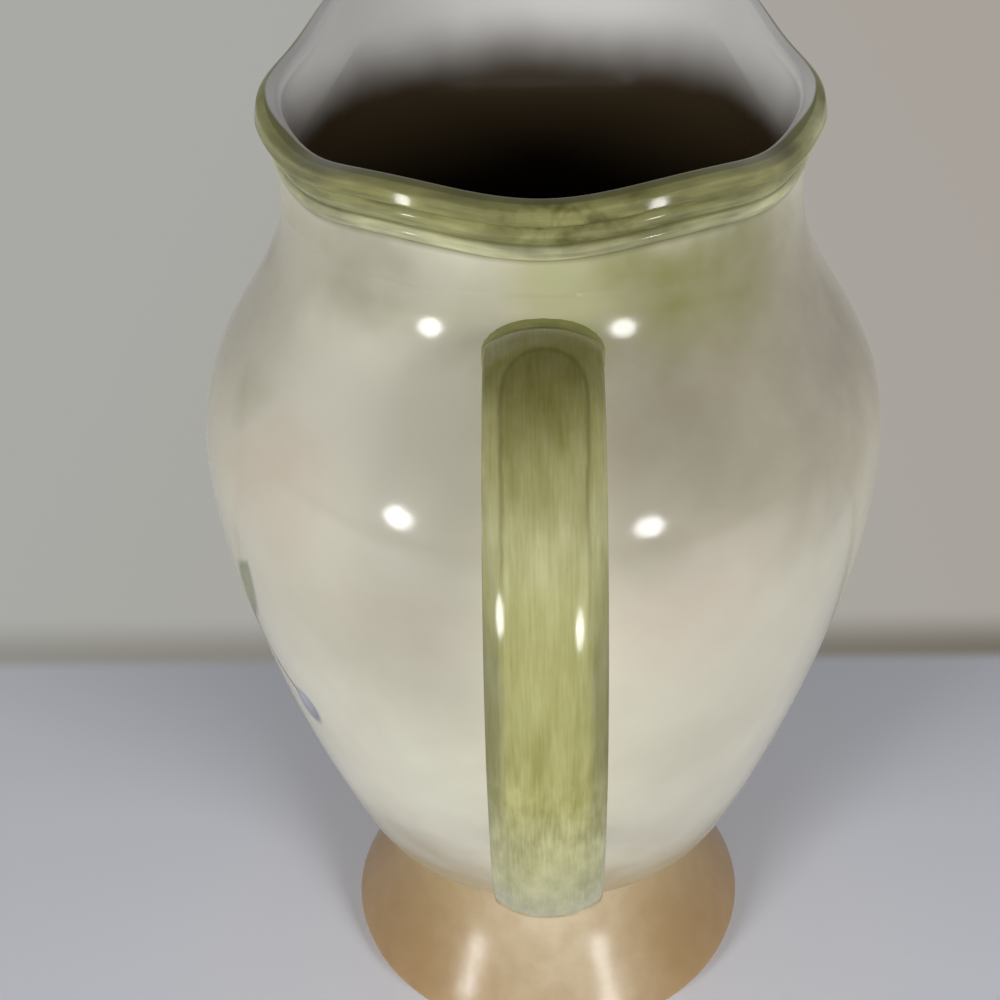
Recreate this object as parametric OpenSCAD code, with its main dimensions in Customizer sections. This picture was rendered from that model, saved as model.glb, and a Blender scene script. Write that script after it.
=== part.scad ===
// A footed earthenware pitcher with a reeded, gently scalloped rim, a raised pouring
// spout and a strap handle. The bowl, the rim section and the foot are made apart and
// joined with clay slip, the handle is luted on behind, and all of it is glazed and fired
// as one. Nothing on it moves.
//
// +Z is up and the origin is the centre of the standing ring, on the table.
// The spout points to +Y and the handle to -Y.

/* [Bowl] */
// Diameter at the belly, the widest part
belly_d = 150; // [136:1:180]
// Diameter of the neck, where the rim section starts
neck_d = 107.5; // [100:0.5:114]
// Slope of the neck there, in degrees in from upright
neck_slope = 5; // [4:1:12]
// Diameter of the seat on the foot
seat_d = 76; // [70:1:82]
// Diameter where the flank turns in under the bowl
hip_d = 100; // [92:1:108]
// Height of that turn above the seat
hip_h = 9; // [8:0.5:12]
// Slope of the flank at the turn, in degrees from upright
hip_slope = 23; // [17:1:29]
// Height of the belly above the seat
flank_h = 111; // [98:1:126]
// Height of the shoulder, from the belly to the neck
shoulder_h = 55; // [47:1:65]
// Thickness of the wall
wall_t = 5; // [4:0.5:6]
// Thickness of the floor
floor_t = 7; // [5:0.5:9]
// Radius of the flat middle of the floor inside
floor_flat_r = 26; // [18:1:30]

/* [Foot] */
// Diameter of the foot where it stands
foot_d = 104; // [96:1:116]
// Height of the foot
foot_h = 40; // [34:1:50]
// Diameter of its waist
waist_d = 73; // [68:1:76]
// Depth of the waist below the bowl's seat
waist_drop = 8; // [6:1:10]
// Width of the land at its top that carries the bowl
seat_land = 7; // [6:0.5:9]
// Thickness of the foot's wall
foot_wall_t = 5.5; // [4.5:0.5:7]
// Width of the ring that stands on the table
ring_w = 4.5; // [3.5:0.5:6]
// Rounding of the foot's outer edge
foot_edge_r = 3; // [2:0.5:4]

/* [Rim] */
// Mean height of the rim above its joint with the neck
rim_h = 18; // [17:0.5:24]
// Diameter of the rim, on the line of its wall
rim_d = 107; // [101:1:115]
// Lean of the reeded band at the back, in degrees out from upright
rim_lean = 3; // [2:1:12]
// Height of the rolled lip, the upper of the three reeds
lip_roll_h = 3.9; // [3.2:0.1:4.6]
// Height of the middle reed
mid_reed_h = 4.2; // [3.4:0.1:4.8]
// Height of the lowest reed
low_reed_h = 3; // [2.4:0.1:3.6]
// How far the rolled lip stands proud
lip_proud = 2.8; // [1.6:0.1:3.2]
// How far the middle reed stands proud
mid_proud = 1.2; // [0.6:0.1:1.8]
// How far the lowest reed stands proud
low_proud = 0.8; // [0.4:0.1:1.2]
// Setback of the lip's crest from the line of the wall
crest_in = 1.7; // [1:0.1:2]
// Thickness of the wall at the lip
lip_wall_t = 3; // [2.6:0.1:3.6]
// Number of scallops round the rim
scallops = 6; // [5:1:9]
// Height of the scallops above and below the mean rim
scallop_h = 1.4; // [0.6:0.1:2]
// Depth of the scallops in and out
scallop_d = 1; // [0.4:0.1:1.6]

/* [Spout] */
// Rise of the spout's tip above the rim
spout_rise = 20; // [12:1:26]
// Reach of the spout's tip beyond the rim
spout_reach = 17; // [10:1:22]
// Angle from the spout to where the rim starts to rise
rise_spread = 100; // [90:1:120]
// Angle from the spout to where its channel starts
channel_spread = 75; // [60:1:90]
// Extra lean of the wall under the tip, in degrees
spout_lean = 30; // [15:1:36]

/* [Handle] */
// Width of the strap
strap_w = 21; // [16:1:24]
// Thickness of the strap
strap_t = 8; // [6.5:0.5:9]
// Radius of the crown across the strap's outer face
strap_crown_r = 22; // [18:1:60]
// Space for the fingers between the belly and the strap
finger_gap = 26.5; // [22:0.5:34]
// Drop from the neck to the middle of the upper root
upper_drop = 23; // [20:1:26]
// Depth of the middle of that root's start under the bowl's surface
upper_root_in = 16; // [13:1:19]
// Run of the strap's upper shoulder, out from the root
upper_run = 12; // [9:1:16]
// Climb of the strap's upper shoulder, over the root
upper_climb = 40; // [34:1:44]
// Drop from the belly to the strap's widest reach
reach_drop = 10; // [5:1:14]
// Height of the lower root above the bowl's seat
lower_rise = 42; // [37:1:47]
// Depth of the middle of that root's start under the bowl's surface
lower_root_in = 4; // [3:0.5:6]
// Run of the strap's lower bend, out from the root
lower_run = 36; // [30:1:40]
// Dip of the strap's lower bend, under the root
lower_dip = 9; // [5:1:13]

/* [Slip joints] */
// Thickness of the slip in a joint
slip_t = 0.8; // [0.6:0.1:1.2]
// Width of the slip pushed up round the strap
slip_fillet = 2; // [1.4:0.1:2.6]
// Thickness left at the edge of that slip
slip_edge = 0.3; // [0.2:0.1:0.5]

/* [Hidden] */

// Colours of the glazes
cream_glaze = "#d3cfb9";
green_glaze = "#9a9a5a";
amber_glaze = "#a98358";
pale_slip = "#cfc8a6";

// Steps along each curve of an outline, round an edge, round the bowl and round the rim
curve_steps = 10;
edge_steps = 6;
round_steps = 180;
scallop_steps = 12;
rim_steps = scallop_steps * scallops;
// Steps up the plain wall of the rim section and up each reed
throat_steps = 5;
reed_steps = 4;
// Angle from point to point round the rolled lip
lip_step = 30;
// Steps round half the strap, along each half of its path and along the slip at a root
strap_steps = 12;
path_steps = 16;
slip_steps = 8;
// Halvings in a search along a curve
halvings = 14;

// Heights of the joints
seat_z = foot_h + slip_t;
belly_z = seat_z + flank_h;
neck_z = belly_z + shoulder_h;
rim_z = neck_z + slip_t;

// Shape of the curves, as shares of the lengths that they span
seat_pull_share = 0.39;
hip_pull_share = 0.65;
flank_low_share = 0.27;
flank_high_share = 0.3;
belly_pull_share = 0.47;
neck_pull_share = 0.37;
foot_pull_share = 0.32;
floor_pull_share = 0.45;
rim_pull_share = 0.15;
lip_bulge_share = 0.55;
reed_fade_share = 0.5;
upper_sweep_share = 0.66;
lower_sweep_share = 0.35;
// Share of half the strap's path within which the slip at its root ends, and the share of
// the slip's width that is left at the strap's sides
slip_reach_share = 0.6;
slip_side_share = 0.3;
// Powers that shape the spout's swell, the fading of the scallops beside it, the strap's
// section and the hollow of the slip at its roots
rise_sharpness = 1.5;
channel_sharpness = 2;
scallop_fade = 2;
strap_squareness = 4;
slip_hollow = 2;

// A point on the curve that four control points give
function bezier(p, t) =
    pow(1 - t, 3) * p[0] + 3 * t * pow(1 - t, 2) * p[1]
    + 3 * t * t * (1 - t) * p[2] + pow(t, 3) * p[3];
// The direction of that curve, one unit long
function bezier_dir(p, t) =
    let (d = pow(1 - t, 2) * (p[1] - p[0]) + 2 * t * (1 - t) * (p[2] - p[1]) + t * t * (p[3] - p[2]))
    d / norm(d);
// Points along the curve, moved sideways by a distance
function curve(p, side = 0, steps = curve_steps) =
    [for (i = [0:steps]) offset_point(p, i / steps, side)];
function offset_point(p, t, side) =
    let (d = bezier_dir(p, t)) bezier(p, t) + side * [-d[1], d[0]];
function reversed(list) = [for (i = [len(list) - 1:-1:0]) list[i]];
function without_first(list) = [for (i = [1:len(list) - 1]) list[i]];

// The bowl's outer line, from the seat up to the neck
seat_point = [seat_d / 2, seat_z];
hip_point = [hip_d / 2, seat_z + hip_h];
hip_dir = [sin(hip_slope), cos(hip_slope)];
belly_point = [belly_d / 2, belly_z];
neck_dir = [-sin(neck_slope), cos(neck_slope)];
neck_point = [neck_d / 2, neck_z];
turn_curve = [
    seat_point,
    seat_point + [seat_pull_share * (hip_d - seat_d) / 2, 0],
    hip_point - hip_pull_share * hip_h * hip_dir,
    hip_point
];
flank_curve = [
    hip_point,
    hip_point + flank_low_share * (flank_h - hip_h) * hip_dir,
    belly_point - [0, flank_high_share * (flank_h - hip_h)],
    belly_point
];
shoulder_curve = [
    belly_point,
    belly_point + [0, belly_pull_share * shoulder_h],
    neck_point - neck_pull_share * shoulder_h * neck_dir,
    neck_point
];
function bowl_line(side = 0) = concat(
    curve(flank_curve, side, 2 * curve_steps),
    without_first(curve(shoulder_curve, side, 2 * curve_steps))
);
// The curve of the inside from the flat of the floor up into the flank
floor_z = seat_z + floor_t;
inner_hip = offset_point(flank_curve, 0, wall_t);
floor_curve = [
    [floor_flat_r, floor_z],
    [floor_flat_r + floor_pull_share * (inner_hip[0] - floor_flat_r), floor_z],
    inner_hip - floor_pull_share * (inner_hip[1] - floor_z) * hip_dir,
    inner_hip
];

// The outside of the bowl as a solid, grown by a margin to fit what lies against it
module bowl_blank(grow = 0) {
    turn = curve(turn_curve, -grow);
    wall = bowl_line(-grow);
    rotate_extrude($fn = round_steps)
        polygon(concat(
            [[0, turn[0][1]]],
            turn,
            without_first(wall),
            [[0, neck_z]]
        ));
}

// Bowl: the belly of the pitcher, thrown or cast, with a flat seat below and an open neck
module bowl() {
    color(cream_glaze)
        rotate_extrude($fn = round_steps)
            polygon(concat(
                [[0, seat_z]],
                curve(turn_curve),
                without_first(bowl_line()),
                [[neck_d / 2 - wall_t, neck_z]],
                reversed(bowl_line(wall_t)),
                without_first(reversed(curve(floor_curve))),
                [[0, floor_z]]
            ));
}

// Foot: a hollow flared pedestal that stands on a ring
foot_waist = [waist_d / 2, foot_h - waist_drop];
foot_edge = [foot_d / 2, foot_edge_r];
neck_of_foot = [
    [seat_d / 2, foot_h],
    [seat_d / 2, foot_h] - [(seat_d - waist_d) / 2, foot_pull_share * waist_drop],
    foot_waist + [0, foot_pull_share * waist_drop],
    foot_waist
];
skirt_curve = [
    foot_waist,
    foot_waist - [0, foot_pull_share * (foot_waist[1] - foot_edge[1])],
    foot_edge + foot_pull_share * [foot_waist[0] - foot_edge[0], foot_waist[1] - foot_edge[1]],
    foot_edge
];
waist_inside = [waist_d / 2 - foot_wall_t, foot_waist[1]];
ring_inside = [foot_d / 2 - foot_edge_r - ring_w, 0];
inside_curve = [
    ring_inside,
    ring_inside + foot_pull_share * [waist_inside[0] - ring_inside[0], waist_inside[1]],
    waist_inside - [0, foot_pull_share * waist_inside[1]],
    waist_inside
];
// Points round the rounded outer edge, from its side down to the table
edge_arc = [
    for (i = [0:edge_steps])
        let (a = -90 * i / edge_steps)
        foot_edge + foot_edge_r * [cos(a) - 1, sin(a)]
];
module foot() {
    color(amber_glaze)
        rotate_extrude($fn = round_steps)
            polygon(concat(
                curve(neck_of_foot),
                without_first(curve(skirt_curve)),
                without_first(edge_arc),
                curve(inside_curve),
                [[seat_d / 2 - seat_land, foot_h]]
            ));
}

// Rim section: the neck's top, the reeded band with its rolled lip, and the spout.
// Angles run round from the spout. Each row is a distance down the wall and out from it.
function swell(a, spread, sharpness) =
    abs(a) < spread ? pow(cos(90 * a / spread), sharpness) : 0;
function rise(a) = swell(a, rise_spread, rise_sharpness);
function channel(a) = swell(a, channel_spread, channel_sharpness);
function scallop(a) = cos(scallops * (a - 180)) * pow(1 - rise(a), scallop_fade);
function lean(a) = rim_lean + spout_lean * channel(a);
function along(a) = [sin(lean(a)), cos(lean(a))];
function outward(a) = [cos(lean(a)), -sin(lean(a))];
// The reeds and the lip stand less proud towards the spout
function proud_share(a) = 1 - reed_fade_share * swell(a, rise_spread, 1);
function lip_point(a) = [
    rim_d / 2 + spout_reach * channel(a) - scallop_d * scallop(a),
    rim_z + rim_h + spout_rise * rise(a) - scallop_h * scallop(a)
];
band_h = lip_roll_h + mid_reed_h + low_reed_h;
function band_point(a, down, out) =
    lip_point(a) - down * along(a) + out * (out > 0 ? proud_share(a) : 1) * outward(a);
// The plain wall between the joint and the band
function throat(a, out) =
    let (
        bottom = [neck_d / 2 + out, rim_z],
        top = band_point(a, band_h, out),
        pull = rim_pull_share * (top[1] - rim_z)
    )
    [bottom, bottom + pull * neck_dir, top - pull * along(a), top];
// One reed, from its lower groove to just under the upper one
function reed(a, top, h, proud) = [
    for (i = [0:reed_steps - 1])
        let (t = i / reed_steps)
        band_point(a, top + h * (1 - t), proud * sin(180 * t))
];
// The rolled lip, from its groove out to its widest, over the crest and into the mouth
function lip_roll(a) =
    let (high = lip_bulge_share * lip_roll_h, low = lip_roll_h - high)
    concat(
        [for (t = [-90:lip_step:-lip_step]) band_point(a, high - low * sin(t), lip_proud * cos(t))],
        [for (t = [0:lip_step:90])
            band_point(a, high * (1 - sin(t)), (lip_proud + crest_in) * cos(t) - crest_in)],
        [for (t = [lip_step:lip_step:90])
            band_point(a, high * (1 - cos(t)), -crest_in - (lip_wall_t - crest_in) * sin(t))]
    );
function rim_profile(a) = concat(
    [for (i = [0:throat_steps - 1]) bezier(throat(a, 0), i / throat_steps)],
    reed(a, lip_roll_h + mid_reed_h, low_reed_h, low_proud),
    reed(a, lip_roll_h, mid_reed_h, mid_proud),
    lip_roll(a),
    [for (i = [throat_steps:-1:0]) bezier(throat(a, -wall_t), i / throat_steps)]
);
module spout_collar() {
    rows = [for (i = [0:rim_steps - 1])
        let (a = 360 * i / rim_steps - 180)
        [for (p = rim_profile(a)) [p[0] * sin(a), p[0] * cos(a), p[1]]]];
    n = len(rows);
    m = len(rows[0]);
    color(green_glaze)
        polyhedron(
            points = [for (row = rows) each row],
            faces = [for (i = [0:n - 1]) for (j = [0:m - 1])
                [i * m + j, ((i + 1) % n) * m + j, ((i + 1) % n) * m + (j + 1) % m, i * m + (j + 1) % m]]
        );
}

// The bowl's radius at a height, found by halving along its outer line
function bowl_r(z) = z >= neck_z ? neck_d / 2 : halve_z(z > belly_z ? shoulder_curve : flank_curve, z);
function halve_z(p, z, low = 0, high = 1, left = halvings) =
    let (mid = (low + high) / 2)
    left == 0 ? bezier(p, mid)[0]
    : bezier(p, mid)[1] < z ? halve_z(p, z, mid, high, left - 1)
    : halve_z(p, z, low, mid, left - 1);

// Handle: a pulled strap, cut to the curve of the bowl at both roots. The curves give its
// middle line behind the bowl, as a distance from the axis and a height.
reach_point = [belly_d / 2 + finger_gap + strap_t / 2, belly_z - reach_drop];
upper_root = [bowl_r(neck_z - upper_drop) - upper_root_in, neck_z - upper_drop];
lower_root = [bowl_r(seat_z + lower_rise) - lower_root_in, seat_z + lower_rise];
strap_upper = [
    upper_root,
    upper_root + [upper_run, upper_climb],
    reach_point + [0, upper_sweep_share * (neck_z - reach_point[1])],
    reach_point
];
strap_lower = [
    reach_point,
    reach_point - [0, lower_sweep_share * (reach_point[1] - lower_root[1])],
    lower_root + [lower_run, -lower_dip],
    lower_root
];
function signed_power(v, p) = sign(v) * pow(abs(v), p);
// A point of the strap's section: flat inside, crowned outside, rounded at the edges
function section_point(k, grow) =
    let (
        a = 180 * k / strap_steps,
        half_w = strap_w / 2 + grow,
        half_t = strap_t / 2 + grow,
        x = half_w * signed_power(cos(a), 2 / strap_squareness),
        y = half_t * signed_power(sin(a), 2 / strap_squareness)
    )
    [x, y > 0 ? y * (1 - x * x / (2 * strap_crown_r * half_t)) : y];
// That point in its place on the path
function strap_point(p, t, k, grow = 0) =
    let (
        c = bezier(p, t),
        d = bezier_dir(p, t),
        s = section_point(k, grow)
    )
    [s[0], s[1] * d[1] - c[0], s[1] * d[0] + c[1]];
function strap_ring(p, t) = [for (k = [0:2 * strap_steps - 1]) strap_point(p, t, k)];
// A solid through a row of rings, closed at both ends
module tube(rings) {
    n = len(rings);
    m = len(rings[0]);
    polyhedron(
        points = [for (ring = rings) each ring],
        faces = concat(
            [[for (j = [0:m - 1]) j]],
            [for (i = [0:n - 2]) for (j = [0:m - 1])
                [i * m + j, (i + 1) * m + j, (i + 1) * m + (j + 1) % m, i * m + (j + 1) % m]],
            [[for (j = [m - 1:-1:0]) (n - 1) * m + j]]
        )
    );
}
module handle() {
    color(green_glaze)
        difference() {
            tube(concat(
                [for (i = [0:path_steps]) strap_ring(strap_upper, i / path_steps)],
                [for (i = [1:path_steps]) strap_ring(strap_lower, i / path_steps)]
            ));
            bowl_blank(slip_t);
        }
}

// Slip joints of the foot and of the rim section: flat rings between the two walls
module ring(outer_d, wall, z) {
    translate([0, 0, z])
        rotate_extrude($fn = round_steps)
            translate([outer_d / 2 - wall, 0])
                square([wall, slip_t]);
}
module foot_slip_joint() {
    color(pale_slip)
        ring(seat_d, seat_land, foot_h);
}
module collar_slip_joint() {
    color(pale_slip)
        ring(neck_d, wall_t, neck_z);
}

// Slip joints of the handle: a thin layer under each root, pushed up round the strap
function clearance(q) = norm([q[0], q[1]]) - bowl_r(q[2]);
function ring_clearance(p, t) = min([for (q = strap_ring(p, t)) clearance(q)]);
// How far along a curve the strap is clear of the slip, from the root at t0 towards t1
function slip_end(p, t0, t1, left = halvings) =
    let (mid = (t0 + t1) / 2)
    left == 0 ? t1
    : ring_clearance(p, mid) < slip_fillet ? slip_end(p, mid, t1, left - 1)
    : slip_end(p, t0, mid, left - 1);
// The slip is pushed up less at the strap's sides than above and below it
function fillet(k) =
    slip_fillet * (slip_side_share + (1 - slip_side_share) * pow(sin(180 * k / strap_steps), 2));
function slip_width(gap, k) =
    slip_edge + fillet(k) * pow(max(0, min(1, 1 - gap / slip_fillet)), slip_hollow);
function slip_ring(p, t) = [
    for (k = [0:2 * strap_steps - 1])
        strap_point(p, t, k, slip_width(clearance(strap_point(p, t, k)), k))
];
module root_slip(p, from, to) {
    color(pale_slip)
        difference() {
            tube([for (i = [0:slip_steps]) slip_ring(p, from + (to - from) * i / slip_steps)]);
            bowl_blank();
            handle();
        }
}
module handle_upper_slip_joint() {
    root_slip(strap_upper, 0, slip_end(strap_upper, 0, slip_reach_share));
}
module handle_lower_slip_joint() {
    root_slip(strap_lower, slip_end(strap_lower, 1, 1 - slip_reach_share), 1);
}

bowl();
spout_collar();
foot();
handle();
foot_slip_joint();
collar_slip_joint();
handle_upper_slip_joint();
handle_lower_slip_joint();
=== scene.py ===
import math
import bmesh
import bpy
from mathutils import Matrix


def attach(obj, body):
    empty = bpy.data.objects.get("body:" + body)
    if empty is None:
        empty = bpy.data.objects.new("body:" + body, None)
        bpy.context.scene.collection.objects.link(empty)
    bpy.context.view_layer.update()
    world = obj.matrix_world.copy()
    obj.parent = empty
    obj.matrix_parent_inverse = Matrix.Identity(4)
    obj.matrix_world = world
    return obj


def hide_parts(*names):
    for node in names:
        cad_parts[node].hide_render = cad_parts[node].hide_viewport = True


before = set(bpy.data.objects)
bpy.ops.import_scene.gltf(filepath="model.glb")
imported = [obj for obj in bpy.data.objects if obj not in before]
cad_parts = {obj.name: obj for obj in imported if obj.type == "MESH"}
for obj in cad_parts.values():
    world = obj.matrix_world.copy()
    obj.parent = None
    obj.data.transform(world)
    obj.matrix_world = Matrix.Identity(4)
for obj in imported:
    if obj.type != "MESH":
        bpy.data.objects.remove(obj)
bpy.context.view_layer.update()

# Foot. A hollow flared pedestal of earthenware, made apart and joined under the bowl with
# slip. An amber glaze lies over it, paler behind and darker low down, and stops at the standing ring.
MM = 0.001
foot_height = 40
seat_radius = 38
waist_radius = 36.5
waist_height = 32
foot_radius = 52
foot_edge = 3
foot_wall = 5.5
ring_width = 4.5
foot_pull = 0.32  # reach of the foot's curves at each end, as a share of what they span
points_round = 288  # round each turned piece
paint_radius = 70.0  # distances along the painted surface are measured at this radius


def curve_point(points, t):
    """A point in the plane on the curve that four control points give."""
    share = ((1 - t) ** 3, 3 * t * (1 - t) ** 2, 3 * t * t * (1 - t), t ** 3)
    return tuple(sum(s * p[axis] for s, p in zip(share, points)) for axis in (0, 1))


def curve_direction(points, t):
    """The direction of that curve, one unit long."""
    share = ((1 - t) ** 2, 2 * t * (1 - t), t * t)
    step = [sum(s * (b[axis] - a[axis]) for s, a, b in zip(share, points, points[1:])) for axis in (0, 1)]
    length = math.hypot(*step)
    return step[0] / length, step[1] / length


def outline_curve(points, steps=40, side=0.0):
    """Points along the curve, moved to its left by a distance."""
    line = []
    for i in range(steps + 1):
        (x, z), (dx, dz) = curve_point(points, i / steps), curve_direction(points, i / steps)
        line.append((x - side * dz, z + side * dx))
    return line


def solid(name, vertices, faces):
    """A smooth closed piece from its points, in mm, and faces."""
    mesh = bpy.data.meshes.new(name)
    mesh.from_pydata([[value * MM for value in v] for v in vertices], [], faces)
    shell = bmesh.new()
    shell.from_mesh(mesh)
    bmesh.ops.recalc_face_normals(shell, faces=shell.faces)
    shell.to_mesh(mesh)
    shell.free()
    mesh.shade_smooth()
    mesh.set_sharp_from_angle(angle=math.radians(48))
    piece = bpy.data.objects.new(name, mesh)
    bpy.context.scene.collection.objects.link(piece)
    return piece


def turned(name, outline, turns=points_round):
    """A piece turned round the axis from its outline, (radius, height) pairs in mm."""
    vertices, rows, faces = [], [], []
    for radius, height in outline:
        if radius == 0:
            rows.append([len(vertices)] * turns)
            vertices.append((0, 0, height))
            continue
        rows.append(list(range(len(vertices), len(vertices) + turns)))
        for k in range(turns):
            angle = 2 * math.pi * k / turns
            vertices.append((radius * math.sin(angle), radius * math.cos(angle), height))
    ends_on_axis = outline[0][0] == 0
    for low, high in zip(rows, rows[1:] if ends_on_axis else rows[1:] + rows[:1]):
        for k in range(turns):
            m = (k + 1) % turns
            faces.append(list(dict.fromkeys((low[k], low[m], high[m], high[k]))))
    return solid(name, vertices, faces)


waist = (waist_radius, waist_height)
edge = (foot_radius, foot_edge)
inner_waist = (waist_radius - foot_wall, waist_height)
inner_ring = (foot_radius - foot_edge - ring_width, 0)
neck_reach = foot_pull * (foot_height - waist_height)
skirt_reach = foot_pull * (waist_height - foot_edge)
inner_reach = foot_pull * waist_height
foot_outline = (
    outline_curve([(seat_radius, foot_height), (waist_radius, foot_height - neck_reach),
                   (waist_radius, waist_height + neck_reach), waist], steps=16)
    + outline_curve([waist, (waist_radius, waist_height - skirt_reach),
                     (edge[0] - foot_pull * (foot_radius - waist_radius), edge[1] + skirt_reach), edge])[1:]
    + [(edge[0] - foot_edge * (1 - math.cos(a)), edge[1] - foot_edge * math.sin(a))
       for a in (math.pi / 24 * i for i in range(1, 13))]
    + outline_curve([inner_ring, (inner_ring[0] - foot_pull * (inner_ring[0] - inner_waist[0]), inner_reach),
                     (inner_waist[0], waist_height - inner_reach), inner_waist])
    + [(inner_waist[0], foot_height)]
)
foot = turned("foot_glazed", foot_outline)


def linear(colour):
    """An sRGB hex colour as Blender's linear values."""
    values = [int(colour[i:i + 2], 16) / 255 for i in (1, 3, 5)]
    return [v / 12.92 if v <= 0.04045 else ((v + 0.055) / 1.055) ** 2.4 for v in values] + [1.0]


MATH, VECTOR = "ShaderNodeMath", "ShaderNodeVectorMath"


def add(tree, kind, *values, at=None, out=0, **settings):
    """Adds a node with its settings, fills or links its inputs, and returns one output, if it has any."""
    node = tree.nodes.new(kind)
    for name, value in settings.items():
        setattr(node, name, value)
    for key, value in [*enumerate(values), *(at or {}).items()]:
        if isinstance(value, bpy.types.NodeSocket):
            tree.links.new(value, node.inputs[key])
        elif value is not None:
            node.inputs[key].default_value = value
    return node.outputs[out] if node.outputs else None


def glazed(name, paint, roughness=0.09, bare_below=None):
    """Clear glaze over painted slip: a hard gloss with waves 9 mm long and pits 1.6 mm wide in it."""
    material = bpy.data.materials.new(name)
    material.use_nodes = True
    tree = material.node_tree
    tree.nodes.clear()
    place = add(tree, "ShaderNodeTexCoord", out=3)
    colour = paint(tree, place)
    waves = add(tree, "ShaderNodeTexNoise", place, at={"Scale": 1 / (9 * MM), "Detail": 1.5}, out=0)
    fine = add(tree, "ShaderNodeTexNoise", place, at={"Scale": 1 / (1.6 * MM), "Detail": 2.0}, out=0)
    height = add(tree, MATH, fine, 0.12, waves, operation="MULTIPLY_ADD")
    bump = add(tree, "ShaderNodeBump", at={"Strength": 1.0, "Distance": 0.05 * MM, "Height": height})
    rough = add(tree, "ShaderNodeMapRange", fine, 0.3, 0.7, roughness, roughness + 0.05)
    if bare_below is not None:
        # the standing ring is wiped clean before firing and stays bare biscuit, matt and chalky
        up = add(tree, "ShaderNodeSeparateXYZ", place, out=2)
        bare = add(tree, "ShaderNodeMapRange", up, bare_below[0] * MM, bare_below[1] * MM, 1.0, 0.0)
        rough = add(tree, "ShaderNodeMix", bare, at={2: rough, 3: 0.75})
        colour = add(tree, "ShaderNodeMix", bare, at={6: colour, 7: linear("#cdbfa6")}, out=2,
                     data_type="RGBA")
    shader = add(tree, "ShaderNodeBsdfPrincipled",
                 at={"Base Color": colour, "Roughness": rough, "Normal": bump, "IOR": 1.52})
    add(tree, "ShaderNodeOutputMaterial", shader)
    return material


def arc(angle):
    """The distance in mm along the painted surface for an angle in degrees."""
    return math.radians(angle) * paint_radius


def round_the_pot(tree, place):
    """Flat coordinates on the pot, in mm: along the surface from the handle's middle, and up."""
    split = add(tree, "ShaderNodeSeparateXYZ", place).node
    behind = add(tree, MATH, split.outputs[1], -1.0, operation="MULTIPLY")
    turn = add(tree, MATH, split.outputs[0], behind, operation="ARCTAN2")
    around = add(tree, MATH, turn, paint_radius, operation="MULTIPLY")
    up = add(tree, MATH, split.outputs[2], 1 / MM, operation="MULTIPLY")
    return add(tree, "ShaderNodeCombineXYZ", around, up)


def watery(tree, flat, place, reach):
    """The flat coordinates pushed about by a noise, as a wet brush leaves its edge."""
    cloud = add(tree, "ShaderNodeTexNoise", place, at={"Scale": 1 / (22 * MM), "Detail": 3.0}, out=1)
    push = add(tree, VECTOR, cloud, (0.5, 0.5, 0.5), operation="SUBTRACT")
    return add(tree, VECTOR, push, (reach, reach, 0.0), flat, operation="MULTIPLY_ADD")


def wash(tree, flat, colour, centre, size, tint, strength, blot=None):
    """Lays a soft patch of slip colour over the colour below it, patchy where blot is given."""
    shift = (-arc(centre[0]) / size[0], -centre[1] / size[1], 0)
    near = add(tree, "ShaderNodeMapping", flat, shift, None, (1 / size[0], 1 / size[1], 0.0))
    reach = add(tree, VECTOR, near, operation="LENGTH", out=1)
    if blot is not None:
        strength = add(tree, MATH, blot, strength, operation="MULTIPLY")
    amount = add(tree, "ShaderNodeMapRange", reach, 0.0, 1.0, strength, 0.0, interpolation_type="SMOOTHSTEP")
    return add(tree, "ShaderNodeMix", amount, at={6: colour, 7: linear(tint)}, out=2, data_type="RGBA")


def foot_paint(tree, place):
    """Amber slip, darker towards the bottom edge, and paler behind under the handle."""
    flat = watery(tree, round_the_pot(tree, place), place, 26)
    up = add(tree, "ShaderNodeSeparateXYZ", flat, out=1)
    depth = add(tree, "ShaderNodeMapRange", up, 4.0, 44.0, 1.0, 0.0, interpolation_type="SMOOTHSTEP")
    colour = add(tree, "ShaderNodeMix", depth, at={6: linear("#b39d72"), 7: linear("#a98a60")}, out=2,
                 data_type="RGBA")
    colour = wash(tree, flat, colour, (2, 30), (60, 70), "#cdbd9f", 0.95)
    grain = add(tree, "ShaderNodeTexNoise", place, at={"Scale": 1 / (5 * MM), "Detail": 4.0}, out=0)
    shade = add(tree, "ShaderNodeMapRange", grain, 0.3, 0.75, 0.0, 0.3)
    return add(tree, "ShaderNodeMix", shade, at={6: colour, 7: linear("#94764c")}, out=2, data_type="RGBA")


amber_glaze = glazed("amber_glazed_earthenware", foot_paint, roughness=0.2, bare_below=(0.6, 1.6))
foot.data.materials.append(amber_glaze)
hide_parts("foot")
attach(foot, "root")

# Slip between the foot and the bowl. A flat ring of clay slip, about 0.8 mm thick, fired
# hard; its edge shows as a hairline round the seat.
slip_thickness = 0.8


def slip_paint(tree, place):
    """Pale clay slip under the glaze, a little darker where it is thin."""
    patches = add(tree, "ShaderNodeTexNoise", place, at={"Scale": 1 / (4 * MM), "Detail": 3.0}, out=0)
    return add(tree, "ShaderNodeMix", patches, at={6: linear("#b39c70"), 7: linear("#cdbb94")}, out=2,
               data_type="RGBA")


slip_inner = waist_radius - foot_wall
foot_slip = turned("foot_slip_glazed", [
    (slip_inner, foot_height), (seat_radius, foot_height),
    (seat_radius, foot_height + slip_thickness), (slip_inner, foot_height + slip_thickness)])
foot_slip.data.materials.append(glazed("fired_joint_slip", slip_paint, roughness=0.16))
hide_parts("foot_slip_joint")
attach(foot_slip, "root")
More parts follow.
